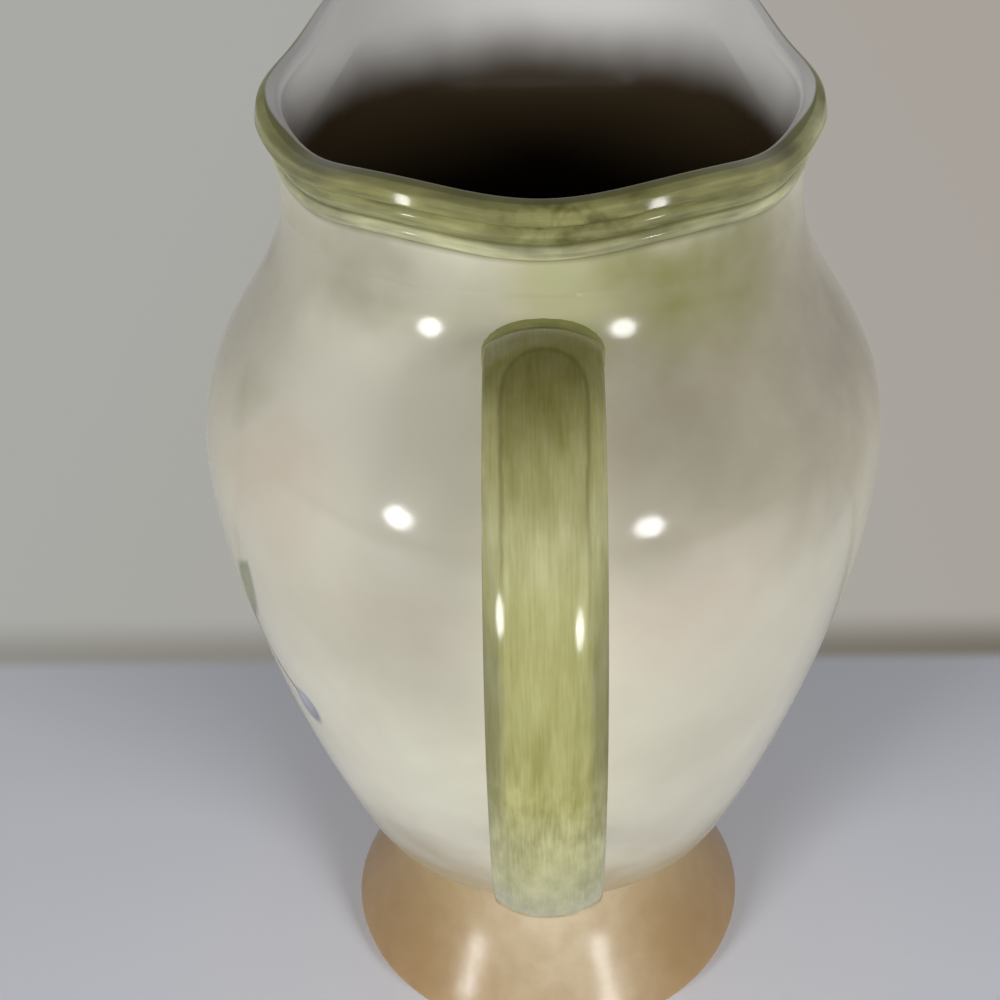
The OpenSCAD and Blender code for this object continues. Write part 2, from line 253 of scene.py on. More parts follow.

# Bowl. The thrown or cast belly of cream earthenware with soft washes of coloured slip, some
# of them partly painted shade and light, and a painted spray of leaves and berries on each
# side, under a clear glaze; inside, painted shade darkens it to brown.
seat_height = foot_height + slip_thickness
hip_rise = 9
hip = (50, seat_height + hip_rise)
hip_slope, neck_slope = math.radians(23), math.radians(5)  # from upright
hip_direction = (math.sin(hip_slope), math.cos(hip_slope))
belly = (75, seat_height + 111)
neck = (53.75, belly[1] + 55)
neck_direction = (-math.sin(neck_slope), math.cos(neck_slope))
bowl_wall = 5
floor_height = seat_height + 7
floor_flat = 26
# Reach of the bowl's curves at their ends, as shares of what they span
seat_pull, hip_pull, flank_low_pull, flank_high_pull = 0.39, 0.65, 0.27, 0.3
belly_pull, neck_pull, floor_pull = 0.47, 0.37, 0.45


def beyond(point, direction, distance):
    """The point at a distance along a direction."""
    return point[0] + distance * direction[0], point[1] + distance * direction[1]


flank_span, shoulder_span = belly[1] - hip[1], neck[1] - belly[1]
turn_curve = [(seat_radius, seat_height), (seat_radius + seat_pull * (hip[0] - seat_radius), seat_height),
              beyond(hip, hip_direction, -hip_pull * hip_rise), hip]
flank_curve = [hip, beyond(hip, hip_direction, flank_low_pull * flank_span),
               (belly[0], belly[1] - flank_high_pull * flank_span), belly]
shoulder_curve = [belly, (belly[0], belly[1] + belly_pull * shoulder_span),
                  beyond(neck, neck_direction, -neck_pull * shoulder_span), neck]
inner_flank = outline_curve(flank_curve, side=bowl_wall)
inner_shoulder = outline_curve(shoulder_curve, side=bowl_wall)
inner_hip = inner_flank[0]
floor_curve = [(floor_flat, floor_height),
               (floor_flat + floor_pull * (inner_hip[0] - floor_flat), floor_height),
               beyond(inner_hip, hip_direction, -floor_pull * (inner_hip[1] - floor_height)), inner_hip]
outer_line = ([(0, seat_height), (seat_radius * 0.5, seat_height)] + outline_curve(turn_curve, steps=16)
              + outline_curve(flank_curve)[1:] + outline_curve(shoulder_curve)[1:])
bowl = turned("bowl_glazed", (
    outer_line + [(neck[0] - bowl_wall, neck[1])] + inner_shoulder[::-1] + inner_flank[::-1][1:]
    + outline_curve(floor_curve, steps=16)[::-1][1:] + [(floor_flat * 0.5, floor_height), (0, floor_height)]))

# Soft washes round the back: angle from the handle, height, half sizes in mm, colour, strength
# painted reflection and shade: the grey washes beside the handle's top, (-36, 206), (-14, 204) and (-18,
# 184), are painted reflection of the room; the darker ones high on the shoulder, (-75, 190), (24, 186), (46,
# 178), (40, 200) and (70, 186), are partly slip colour and partly painted shade where the shoulder faces up;
# the pale one low at the left, (-20, 98), is partly painted light
washes_and_painted_shade = [
    (-35, 180, 46, 34, "#cdcabb", 0.70),
    (-75, 190, 40, 40, "#a69f8e", 0.70),
    (-20, 98, 56, 40, "#e5e2cc", 0.90),
    (-34, 146, 40, 34, "#c0bba6", 0.45),
    (24, 186, 60, 44, "#a39b85", 0.78),
    (46, 178, 60, 46, "#a69e8b", 0.80),
    (70, 186, 40, 40, "#989180", 0.75),
    (-18, 184, 26, 36, "#c8c4b1", 0.60),
    (-60, 179, 9, 9, "#86825f", 0.28),
    (-82, 198, 14, 10, "#8b7a5e", 0.50),
    (-48, 166, 24, 20, "#c3ae9d", 0.45),
    (-36, 206, 46, 18, "#94927a", 0.75),
    (-14, 204, 22, 11, "#aeac94", 0.75),
    (28, 209, 58, 19, "#7b7c3d", 0.97),
    (40, 200, 50, 20, "#8f8a68", 0.60),
    (4, 207, 21, 20, "#aeae82", 0.85),
    (22, 148, 32, 24, "#dccdbb", 0.60),
    (-20, 146, 30, 16, "#c2b3a3", 0.35),
    (0, 54, 150, 26, "#a08f68", 0.80),
    (-32, 62, 30, 18, "#9c9484", 0.25),
    (-180, 190, 90, 40, "#8f8c66", 0.50),
    (180, 190, 90, 40, "#8f8c66", 0.50),
    (-120, 72, 80, 30, "#a3a07a", 0.50),
    (120, 72, 80, 30, "#a3a07a", 0.50),
]


def berry_spray(tree, flat, colour, start, end):
    """A bent brown stem with leaves on both sides and small berries, from one angle to another."""
    span, top, fall, sway, waves = arc(end - start), 170.0, 52.0, 14.0, 1.5 * math.pi
    split = add(tree, "ShaderNodeSeparateXYZ", flat).node
    along = add(tree, "ShaderNodeMapRange", split.outputs[0], arc(start), arc(end), 0.0, 1.0)
    wave = add(tree, MATH, along, waves, operation="MULTIPLY")
    bend = add(tree, MATH, wave, operation="SINE")
    drop = add(tree, MATH, along, -fall, top, operation="MULTIPLY_ADD")
    stem = add(tree, MATH, bend, sway, drop, operation="MULTIPLY_ADD")
    off = add(tree, MATH, split.outputs[1], stem, operation="SUBTRACT")
    off = add(tree, MATH, off, operation="ABSOLUTE")
    line = add(tree, "ShaderNodeMapRange", off, 0.3, 2.2, 0.85, 0.0, interpolation_type="SMOOTHSTEP")
    ends = add(tree, MATH, along, 0.5, 0.485, operation="COMPARE")
    line = add(tree, MATH, line, ends, operation="MULTIPLY")
    colour = add(tree, "ShaderNodeMix", line, at={6: colour, 7: linear("#7b6348")}, out=2, data_type="RGBA")
    for i in range(9):
        # each leaf or berry stands off the stem on its own side; its tilt and size differ a little
        share = (i + 0.7) / 9.4
        x, z = arc(start) + span * share, top - fall * share + sway * math.sin(waves * share)
        side = 1 if i % 2 else -1
        tilt = 0.9 + 0.25 * math.sin(3 * i)
        long, wide = 11 + 2.5 * math.sin(2 * i), 5.2 + math.sin(5 * i)
        off_stem = 0.95 * long
        middle = (x + math.copysign(off_stem, span) * math.cos(tilt), z + side * off_stem * math.sin(tilt))
        if i % 3 == 2:
            # a berry in place of every third leaf, with its darker side low down
            near = add(tree, VECTOR, flat, (*middle, 0), operation="DISTANCE", out=1)
            fill = add(tree, "ShaderNodeMapRange", near, 3.4, 5.8, 0.85, 0.0, interpolation_type="SMOOTHSTEP")
            core = add(tree, VECTOR, flat, (middle[0] - 1.2, middle[1] + 1.6, 0), operation="DISTANCE", out=1)
            lit = add(tree, "ShaderNodeMapRange", core, 0.5, 5.5, 0.0, 1.0)
            tint = add(tree, "ShaderNodeMix", lit, at={6: linear("#a3a7b8"), 7: linear("#5d6078")}, out=2,
                       data_type="RGBA")
        else:
            near = add(tree, VECTOR, flat, (*middle, 0), operation="SUBTRACT")
            turned_leaf = add(tree, "ShaderNodeVectorRotate", near, at={"Angle": -math.atan2(
                middle[1] - z, middle[0] - x)}, rotation_type="Z_AXIS")
            leaf = add(tree, "ShaderNodeSeparateXYZ", turned_leaf).node
            length = add(tree, MATH, leaf.outputs[0], 1 / long, operation="MULTIPLY")
            length = add(tree, MATH, length, 2.0, operation="POWER")
            width = add(tree, MATH, leaf.outputs[1], operation="ABSOLUTE")
            width = add(tree, MATH, width, 1 / wide, length, operation="MULTIPLY_ADD")
            fill = add(tree, "ShaderNodeMapRange", width, 0.62, 1.16, 0.8, 0.0,
                       interpolation_type="SMOOTHSTEP")
            rib = add(tree, "ShaderNodeMapRange", width, 0.0, 0.9, 0.0, 1.0)
            tint = add(tree, "ShaderNodeMix", rib, at={6: linear("#8f9262"), 7: linear("#6b7448")}, out=2,
                       data_type="RGBA")
        colour = add(tree, "ShaderNodeMix", fill, at={6: colour, 7: tint}, out=2, data_type="RGBA")
    return colour


def lining(tree, place):
    """Pale grey glaze at the lip, darkened to brown down the inside of the neck and bowl as painted shade."""
    side, _, up = add(tree, "ShaderNodeSeparateXYZ", place).node.outputs
    cloud = add(tree, "ShaderNodeTexNoise", place, at={"Scale": 1 / (26 * MM), "Detail": 2.0}, out=0)
    up = add(tree, MATH, cloud, 6 * MM, up, operation="MULTIPLY_ADD")
    # painted shade: the inside darkens to brown below the lip, where the rim keeps the light out
    depth = add(tree, "ShaderNodeMapRange", up, 216 * MM, 232 * MM, 1.0, 0.0, interpolation_type="SMOOTHSTEP")
    colour = add(tree, "ShaderNodeMix", depth, at={6: linear("#cdcbc8"), 7: linear("#3f3424")}, out=2,
                 data_type="RGBA")
    # painted light: the lining is made lighter at the right and darker at the left
    painted_light_across = add(tree, "ShaderNodeMapRange", side, -42 * MM, 35 * MM, 0.89, 1.13)
    return add(tree, "ShaderNodeHueSaturation", at={"Value": painted_light_across, "Color": colour})


def cream_slip(tree, place, flat):
    """Cream slip, a little mottled, with the airbrushed washes over it, some of them partly painted shade,
    reflection and light.
    """
    wet = watery(tree, flat, place, 26)
    cloud = add(tree, "ShaderNodeTexNoise", place, at={"Scale": 1 / (26 * MM), "Detail": 3.0}, out=0)
    mottle = add(tree, "ShaderNodeMapRange", cloud, 0.35, 0.7, 0.0, 1.0)
    colour = add(tree, "ShaderNodeMix", mottle, at={6: linear("#d3cfbb"), 7: linear("#c9c3af")}, out=2,
                 data_type="RGBA")
    blots = add(tree, "ShaderNodeTexNoise", place, at={"Scale": 1 / (9 * MM), "Detail": 4.0}, out=0)
    blot = add(tree, "ShaderNodeMapRange", blots, 0.3, 0.65, 0.82, 1.06)
    for angle, height, half_wide, half_high, tint, strength in washes_and_painted_shade:
        colour = wash(tree, wet, colour, (angle, height), (half_wide, half_high), tint, strength, blot)
    return colour


def bowl_paint(tree, place):
    """Cream slip with airbrushed washes and the painted sprays."""
    flat = round_the_pot(tree, place)
    colour = cream_slip(tree, place, flat)
    streaky = watery(tree, flat, place, 5)
    colour = berry_spray(tree, streaky, colour, -128, -52)
    colour = berry_spray(tree, streaky, colour, 138, 84)
    outer = add(tree, "ShaderNodeAttribute", attribute_name="shell", out=2)
    return add(tree, "ShaderNodeMix", outer, at={6: lining(tree, place), 7: colour}, out=2, data_type="RGBA")


# The outer line's points come first in the mesh, and the first of them is the one on the axis
outer_points = 1 + points_round * (len(outer_line) - 1)
shell = bowl.data.attributes.new("shell", "FLOAT", "POINT")
shell.data.foreach_set("value", [1.0 if k < outer_points else 0.0 for k in range(len(bowl.data.vertices))])
bowl.data.materials.append(glazed("cream_glazed_earthenware", bowl_paint))
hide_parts("bowl")
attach(bowl, "root")

# Slip between the bowl and the rim section. The same thin ring as under the bowl, glazed in
# the bowl's cream.
collar_slip = turned("collar_slip_glazed", [
    (neck[0] - bowl_wall, neck[1]), (neck[0], neck[1]),
    (neck[0], neck[1] + slip_thickness), (neck[0] - bowl_wall, neck[1] + slip_thickness)])
shell = collar_slip.data.attributes.new("shell", "FLOAT", "POINT")
shell.data.foreach_set("value", [1.0 if k // points_round in (1, 2) else 0.0
                                 for k in range(4 * points_round)])
collar_slip.data.materials.append(bpy.data.materials["cream_glazed_earthenware"])
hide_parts("collar_slip_joint")
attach(collar_slip, "root")

# Rim section. The top of the neck with three reeds, the uppermost a rolled lip, scalloped
# round the back and drawn up and out into the spout; green slip is brushed over the reeds.
rim_base = neck[1] + slip_thickness
lip_roll, middle_reed, low_reed = 3.9, 4.2, 3.0
band_height = lip_roll + middle_reed + low_reed
lip_proud, middle_proud, low_proud, crest_in, lip_wall = 2.8, 1.2, 0.8, 1.7, 3.0

# The wall's section as (out, climb, down): climb runs from 0 at the joint to 1 at the band
climb_steps, reed_steps, roll_steps, inner_steps = 30, 16, 12, 8
section = [(0.0, i / climb_steps, band_height) for i in range(climb_steps)]
for top, height, proud in ((lip_roll + middle_reed, low_reed, low_proud),
                           (lip_roll, middle_reed, middle_proud)):
    section += [(proud * math.sin(math.pi * i / reed_steps), 1.0, top + height * (1 - i / reed_steps))
                for i in range(reed_steps)]
roll_depth = 0.55 * lip_roll  # the crest rounds over into the inner face down to here
face_low, face_high = (lip_proud, 2.9), (lip_proud - 0.57, 1.0)
for i in range(roll_steps):
    a = math.pi / (2 * roll_steps) * (i - roll_steps)
    section.append((lip_proud * math.cos(a), 1.0, face_low[1] - (lip_roll - face_low[1]) * math.sin(a)))
# The lip's face leans in by 14 degrees at its foot and 19 at its top, and then rounds over to
# the crest; both lines are given by their control points
lip_face = [face_low, (face_low[0] - 0.16, 2.27), (face_high[0] + 0.216, 1.63), face_high]
lip_crown = [face_high, (face_high[0] - 0.18, 0.48), (0.5, 0.0), (-crest_in, 0.0)]
for line in (outline_curve(lip_face, steps=12), outline_curve(lip_crown, steps=18)[1:]):
    section += [(out, 1.0, down) for out, down in line]
for i in range(1, roll_steps + 1):
    a = math.pi / (2 * roll_steps) * i
    section.append((-crest_in - (lip_wall - crest_in) * math.sin(a), 1.0, roll_depth * (1 - math.cos(a))))
section += [(-lip_wall - (bowl_wall - lip_wall) * i / inner_steps, 1.0,
             roll_depth + (band_height - roll_depth) * i / inner_steps) for i in range(1, inner_steps)]
section += [(-bowl_wall, i / climb_steps, band_height) for i in range(climb_steps, -1, -1)]
section.append(section[0])
section_mesh = bpy.data.meshes.new("rim_section_line")
section_mesh.from_pydata(section, [(i, i + 1) for i in range(len(section) - 1)], [])
rim = bpy.data.objects.new("rim_section_line", section_mesh)
bpy.context.scene.collection.objects.link(rim)

rim_tree = bpy.data.node_groups.new("reeded_rim_with_spout", "GeometryNodeTree")
rim_tree.interface.new_socket("Geometry", in_out="INPUT", socket_type="NodeSocketGeometry")
rim_tree.interface.new_socket("Geometry", in_out="OUTPUT", socket_type="NodeSocketGeometry")
rim_sizes = {
    "Neck Radius": neck[0], "Joint Height": rim_base, "Rim Radius": 53.5, "Rim Height": 18.0,
    "Band Lean": math.radians(3), "Spout Lean": math.radians(30), "Spout Rise": 20.0, "Spout Reach": 17.0,
    "Rise Spread": math.radians(100), "Channel Spread": math.radians(75), "Neck Slope": neck_slope,
    "Scallops": 6.0, "Scallop Height": 1.4, "Scallop Depth": 1.0, "Throat Pull": 0.15, "Reed Fade": 0.5,
    "Steps Round": 336.0, "Section Points": float(len(section)),
}
for name, size in rim_sizes.items():
    rim_tree.interface.new_socket(name, in_out="INPUT", socket_type="NodeSocketFloat")
rim_tree.interface.new_socket("Glaze", in_out="INPUT", socket_type="NodeSocketMaterial")
given = rim_tree.nodes.new("NodeGroupInput").outputs

# A grid of points: one column for each angle round the rim, one row for each section point
grid = add(rim_tree, "GeometryNodeMeshGrid", 1.0, 1.0, given["Steps Round"], given["Section Points"])
index = add(rim_tree, "GeometryNodeInputIndex")
row = add(rim_tree, MATH, index, given["Section Points"], operation="MODULO")
column = add(rim_tree, MATH, index, given["Section Points"], operation="DIVIDE")
column = add(rim_tree, MATH, column, operation="FLOOR")
last = add(rim_tree, MATH, given["Steps Round"], 1.0, operation="SUBTRACT")
turn = add(rim_tree, "ShaderNodeMapRange", column, 0.0, last, -math.pi, math.pi)
position = add(rim_tree, "GeometryNodeInputPosition")
row_point = add(rim_tree, "GeometryNodeSampleIndex", given["Geometry"], position, row,
                data_type="FLOAT_VECTOR")
full_out, climb, down = add(rim_tree, "ShaderNodeSeparateXYZ", row_point).node.outputs

# How far the rim rises and opens into the spout at each angle, and the scallops behind it
rise, channel = (
    add(rim_tree, MATH, add(rim_tree, MATH, add(rim_tree, MATH, add(
        rim_tree, "ShaderNodeMapRange", turn, add(rim_tree, MATH, spread, -1.0, operation="MULTIPLY"), spread,
        -math.pi / 2, math.pi / 2), operation="COSINE"), 0.0, operation="MAXIMUM"), power, operation="POWER")
    for spread, power in ((given["Rise Spread"], 1.5), (given["Channel Spread"], 2.0)))
# The reeds and the lip stand less proud towards the spout
faded = add(rim_tree, MATH, add(rim_tree, MATH, rise, 2 / 3, operation="POWER"), given["Reed Fade"],
            operation="MULTIPLY")
proud = add(rim_tree, MATH, full_out, 0.0, operation="MAXIMUM")
proud = add(rim_tree, MATH, proud, faded, operation="MULTIPLY")
row_out = add(rim_tree, MATH, full_out, proud, operation="SUBTRACT")
flat_rim = add(rim_tree, MATH, 1.0, rise, operation="SUBTRACT")
fade = add(rim_tree, MATH, flat_rim, flat_rim, operation="MULTIPLY")
phase = add(rim_tree, MATH, add(rim_tree, MATH, turn, math.pi, operation="SUBTRACT"), given["Scallops"],
            operation="MULTIPLY")
scallop = add(rim_tree, MATH, add(rim_tree, MATH, phase, operation="COSINE"), fade, operation="MULTIPLY")
lean = add(rim_tree, MATH, channel, given["Spout Lean"], given["Band Lean"], operation="MULTIPLY_ADD")
lean_sine = add(rim_tree, MATH, lean, operation="SINE")
lean_cosine = add(rim_tree, MATH, lean, operation="COSINE")
upward = add(rim_tree, "ShaderNodeCombineXYZ", lean_sine, 0.0, lean_cosine)
outward = add(rim_tree, "ShaderNodeCombineXYZ", lean_cosine, 0.0,
              add(rim_tree, MATH, lean_sine, -1.0, operation="MULTIPLY"))
lip_radius = add(rim_tree, MATH, channel, given["Spout Reach"], given["Rim Radius"], operation="MULTIPLY_ADD")
hollow = add(rim_tree, MATH, scallop, given["Scallop Depth"], operation="MULTIPLY")
lip_radius = add(rim_tree, MATH, lip_radius, hollow, operation="SUBTRACT")
lip_height = add(rim_tree, MATH, given["Joint Height"], given["Rim Height"], operation="ADD")
lip_height = add(rim_tree, MATH, rise, given["Spout Rise"], lip_height, operation="MULTIPLY_ADD")
dip = add(rim_tree, MATH, scallop, given["Scallop Height"], operation="MULTIPLY")
lip_height = add(rim_tree, MATH, lip_height, dip, operation="SUBTRACT")
lip = add(rim_tree, "ShaderNodeCombineXYZ", lip_radius, 0.0, lip_height)

# The wall climbs from the joint to the band on a curve with four control points
top = add(rim_tree, VECTOR, lip, add(rim_tree, VECTOR, upward, at={3: down}, operation="SCALE"),
          operation="SUBTRACT")
top = add(rim_tree, VECTOR, top, add(rim_tree, VECTOR, outward, at={3: row_out}, operation="SCALE"),
          operation="ADD")
wall_radius = add(rim_tree, MATH, given["Neck Radius"], row_out, operation="ADD")
foot_of_wall = add(rim_tree, "ShaderNodeCombineXYZ", wall_radius, 0.0, given["Joint Height"])
top_height = add(rim_tree, "ShaderNodeSeparateXYZ", top, out=2)
wall_rise = add(rim_tree, MATH, top_height, given["Joint Height"], operation="SUBTRACT")
pull = add(rim_tree, MATH, wall_rise, given["Throat Pull"], operation="MULTIPLY")
neck_in = add(rim_tree, MATH, add(rim_tree, MATH, given["Neck Slope"], -1.0, operation="MULTIPLY"),
              operation="SINE")
neck_up = add(rim_tree, "ShaderNodeCombineXYZ", neck_in, 0.0,
              add(rim_tree, MATH, given["Neck Slope"], operation="COSINE"))
low_reach = add(rim_tree, VECTOR, neck_up, at={3: pull}, operation="SCALE")
high_reach = add(rim_tree, VECTOR, upward, at={3: pull}, operation="SCALE")
points = [foot_of_wall, add(rim_tree, VECTOR, foot_of_wall, low_reach, operation="ADD"),
          add(rim_tree, VECTOR, top, high_reach, operation="SUBTRACT"), top]
while len(points) > 1:
    points = [add(rim_tree, "ShaderNodeMix", climb, at={4: a, 5: b}, out=1, data_type="VECTOR")
              for a, b in zip(points, points[1:])]
radius, _, height = add(rim_tree, "ShaderNodeSeparateXYZ", points[0]).node.outputs
across = add(rim_tree, MATH, radius, add(rim_tree, MATH, turn, operation="SINE"), operation="MULTIPLY")
forward = add(rim_tree, MATH, radius, add(rim_tree, MATH, turn, operation="COSINE"), operation="MULTIPLY")
placed = add(rim_tree, "ShaderNodeCombineXYZ", across, forward, height)
placed = add(rim_tree, VECTOR, placed, at={3: MM}, operation="SCALE")
shaped = add(rim_tree, "GeometryNodeSetPosition", grid, at={"Position": placed})
for name, value in (("down", down), ("out", full_out), ("climb", climb)):
    shaped = add(rim_tree, "GeometryNodeStoreNamedAttribute", shaped, at={"Name": name, "Value": value},
                 data_type="FLOAT", domain="POINT")
closed = add(rim_tree, "GeometryNodeMergeByDistance", shaped, at={"Distance": 0.002 * MM})
smooth = add(rim_tree, "GeometryNodeSetShadeSmooth", closed)
real = add(rim_tree, "GeometryNodeRealizeInstances", smooth)
coated = add(rim_tree, "GeometryNodeSetMaterial", real, at={"Material": given["Glaze"]})
add(rim_tree, "NodeGroupOutput", coated)


def rim_paint(tree, place):
    """Green slip brushed round the reeds, thinner on each lower one, and the cream of the neck."""
    flat = round_the_pot(tree, place)
    wet = watery(tree, flat, place, 10)
    along = add(tree, "ShaderNodeSeparateXYZ", flat, out=0)
    down = add(tree, "ShaderNodeAttribute", attribute_name="down", out=2)
    out = add(tree, "ShaderNodeAttribute", attribute_name="out", out=2)
    climb = add(tree, "ShaderNodeAttribute", attribute_name="climb", out=2)
    ramp = add(tree, "ShaderNodeValToRGB", add(tree, MATH, down, 1 / band_height, operation="MULTIPLY")).node
    stops = ((0.0, "#8b8a5b"), (0.30, "#7b794a"), (0.38, "#888759"), (0.69, "#8e8e60"), (0.76, "#b0af88"),
             (1.0, "#bab994"))
    for place_on_ramp, _ in stops[1:-1]:
        ramp.color_ramp.elements.new(place_on_ramp)
    for element, (place_on_ramp, tint) in zip(ramp.color_ramp.elements, stops):
        element.position, element.color = place_on_ramp, linear(tint)
    # mottled brown behind the handle, where the slip is thickest, and a dark dab at the right
    speckle = add(tree, "ShaderNodeTexNoise", place, at={"Scale": 1 / (5 * MM), "Detail": 4.0}, out=0)
    mottled = add(tree, "ShaderNodeMapRange", speckle, 0.42, 0.6, 0.2, 1.2)
    green = wash(tree, wet, ramp.outputs[0], (6, 221), (36, 9), "#504d1f", 0.9, mottled)
    green = wash(tree, wet, green, (25, 214), (30, 13), "#66643a", 0.8)
    green = wash(tree, wet, green, (74, 228), (16, 16), "#b3b28c", 0.7)
    green = wash(tree, wet, green, (58, 226), (8, 10), "#57522f", 0.75)
    green = wash(tree, wet, green, (-180, 250), (110, 46), "#a2a274", 0.5)
    green = wash(tree, wet, green, (180, 250), (110, 46), "#a2a274", 0.5)
    # brush marks run round the rim: 16 mm long and under 1 mm wide, and 12 mm long and 3 mm wide
    across, forward, _ = add(tree, "ShaderNodeSeparateXYZ", place).node.outputs
    marks = add(tree, "ShaderNodeCombineXYZ", across, forward, down)
    fine, broad = (add(tree, "ShaderNodeTexNoise", add(tree, VECTOR, marks, scale, operation="MULTIPLY"),
                       at={"Scale": 1.0, "Detail": 3.0}, out=0)
                   for scale in ((1 / (16 * MM), 1 / (16 * MM), 1 / 0.9),
                                 (1 / (12 * MM), 1 / (12 * MM), 1 / 3.0)))
    both = add(tree, MATH, fine, 0.7, broad, operation="MULTIPLY_ADD")
    thin = add(tree, "ShaderNodeMapRange", both, 0.62, 1.08, 0.66, 1.34)
    green = add(tree, "ShaderNodeHueSaturation", at={"Value": thin, "Color": green})
    # painted shade darkens the grooves under the reeds, and the slip is worn pale along the lip's inner edge,
    # most at the sides
    groove_shade = add(tree, "ShaderNodeMapRange", out, 0.05, 0.45, 0.6, 0.0, interpolation_type="SMOOTHSTEP")
    green = add(tree, "ShaderNodeMix", groove_shade, at={6: green, 7: linear("#5a5830")}, out=2, data_type="RGBA")
    from_middle = add(tree, MATH, along, operation="ABSOLUTE")
    sides = add(tree, "ShaderNodeMapRange", from_middle, 25.0, 75.0, 0.25, 0.8)
    from_crest = add(tree, MATH, add(tree, MATH, out, 2.1, operation="ADD"), operation="ABSOLUTE")
    crest = add(tree, "ShaderNodeMapRange", from_crest, 0.2, 0.8, sides, 0.0, interpolation_type="SMOOTHSTEP")
    green = add(tree, "ShaderNodeMix", crest, at={6: green, 7: linear("#c3c2b4")}, out=2, data_type="RGBA")
    edge = add(tree, "ShaderNodeMapRange", climb, 0.8, 1.0, 0.0, 1.0)
    colour = add(tree, "ShaderNodeMix", edge, at={6: cream_slip(tree, place, flat), 7: green}, out=2,
                 data_type="RGBA")
    # the lining ends inside the lip behind, and comes up over it at the sides and the spout
    over = add(tree, "ShaderNodeMapRange", from_middle, 72.0, 112.0, 0.0, 3.2)
    near_crest = add(tree, "ShaderNodeMapRange", down, 0.3, 1.4, 1.0, 0.0)
    over = add(tree, MATH, near_crest, over, operation="MULTIPLY")
    inner = add(tree, MATH, out, over, operation="SUBTRACT")
    inner = add(tree, "ShaderNodeMapRange", inner, -2.9, -2.3, 1.0, 0.0, interpolation_type="SMOOTHSTEP")
    return add(tree, "ShaderNodeMix", inner, at={6: colour, 7: lining(tree, place)}, out=2, data_type="RGBA")


growth = rim.modifiers.new("reeded_rim", "NODES")
growth.node_group = rim_tree
rim_sockets = {item.name: item.identifier for item in rim_tree.interface.items_tree if item.in_out == "INPUT"}
for name, size in rim_sizes.items():
    growth[rim_sockets[name]] = size
growth[rim_sockets["Glaze"]] = glazed("green_glazed_earthenware", rim_paint, roughness=0.11)
depsgraph = bpy.context.evaluated_depsgraph_get()
rim_mesh = bpy.data.meshes.new_from_object(rim.evaluated_get(depsgraph))
rim.modifiers.clear()
rim.data = rim_mesh
rim.name = "rim_section_glazed"
shell = bmesh.new()
shell.from_mesh(rim_mesh)
bmesh.ops.recalc_face_normals(shell, faces=shell.faces)
shell.to_mesh(rim_mesh)
shell.free()
rim_mesh.set_sharp_from_angle(angle=math.radians(60))
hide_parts("spout_collar")
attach(rim, "root")

# Handle. A pulled strap with a flat panel down its back between two softened edges, luted on
# behind at both ends; green slip is brushed down it and thins to white at the bottom.
strap_half_width, strap_half_thickness, strap_crown = 10.5, 4.0, 22.0
# Where the path's roots and control points lie, in mm; the two sweeps are shares of a height
finger_gap, reach_drop = 26.5, 10
upper_drop, upper_in, upper_run, upper_climb, upper_sweep = 23, 16, 12, 40, 0.66
lower_rise, lower_in, lower_run, lower_dip, lower_sweep = 42, 4, 36, 9, 0.35
bowl_line = (outline_curve(turn_curve)[1:] + outline_curve(flank_curve, steps=120)[1:]
             + outline_curve(shoulder_curve, steps=120)[1:])


def bowl_radius(height):
    """The bowl's outer radius at a height, in mm."""
    for (r0, z0), (r1, z1) in zip(bowl_line, bowl_line[1:]):
        if z0 <= height <= z1:
            return r0 + (r1 - r0) * (height - z0) / (z1 - z0)
    return neck[0] if height > neck[1] else seat_radius


reach = (belly[0] + finger_gap + strap_half_thickness, belly[1] - reach_drop)
upper_root = (bowl_radius(neck[1] - upper_drop) - upper_in, neck[1] - upper_drop)
lower_root = (bowl_radius(seat_height + lower_rise) - lower_in, seat_height + lower_rise)
upper_path = [upper_root, (upper_root[0] + upper_run, upper_root[1] + upper_climb),
              (reach[0], reach[1] + upper_sweep * (neck[1] - reach[1])), reach]
lower_path = [reach, (reach[0], reach[1] - lower_sweep * (reach[1] - lower_root[1])),
              (lower_root[0] + lower_run, lower_root[1] - lower_dip), lower_root]


def strap_point(path, t, around, grow=0.0):
    """A point on the strap: around is 0 to 1 about its section, the first half on the outer face."""
    angle = 2 * math.pi * around
    x = (strap_half_width + grow) * math.copysign(abs(math.cos(angle)) ** 0.5, math.cos(angle))
    y = (strap_half_thickness + grow) * math.copysign(abs(math.sin(angle)) ** 0.5, math.sin(angle))
    if y > 0:
        y *= 1 - x * x / (2 * strap_crown * (strap_half_thickness + grow))
    (rho, z), (d_rho, d_z) = curve_point(path, t), curve_direction(path, t)
    return x, y * d_z - rho, z + y * d_rho, y


def clear_of_bowl(point):
    """How far a point lies outside the bowl, in mm."""
    return math.hypot(point[0], point[1]) - bowl_radius(point[2])


def tucked(point, depth=0.7):
    """The point itself, or the place just under the bowl's surface where it would be buried."""
    gap = clear_of_bowl(point)
    if gap >= -depth:
        return point[:3]
    scale = (bowl_radius(point[2]) - depth) / math.hypot(point[0], point[1])
    return point[0] * scale, point[1] * scale, point[2]


def swept(name, rings, facts):
    """A closed piece through rings of points, with named values at each point."""
    count = len(rings[0])
    vertices = [tucked(p) for ring in rings for p in ring]
    faces = [(low + k, low + count + k, low + count + (k + 1) % count, low + (k + 1) % count)
             for low in range(0, len(vertices) - count, count) for k in range(count)]
    faces += [tuple(range(count)), tuple(range(len(vertices) - 1, len(vertices) - 1 - count, -1))]
    piece = solid(name, vertices, faces)
    for fact, values in facts.items():
        piece.data.attributes.new(fact, "FLOAT", "POINT").data.foreach_set("value", values)
    return piece


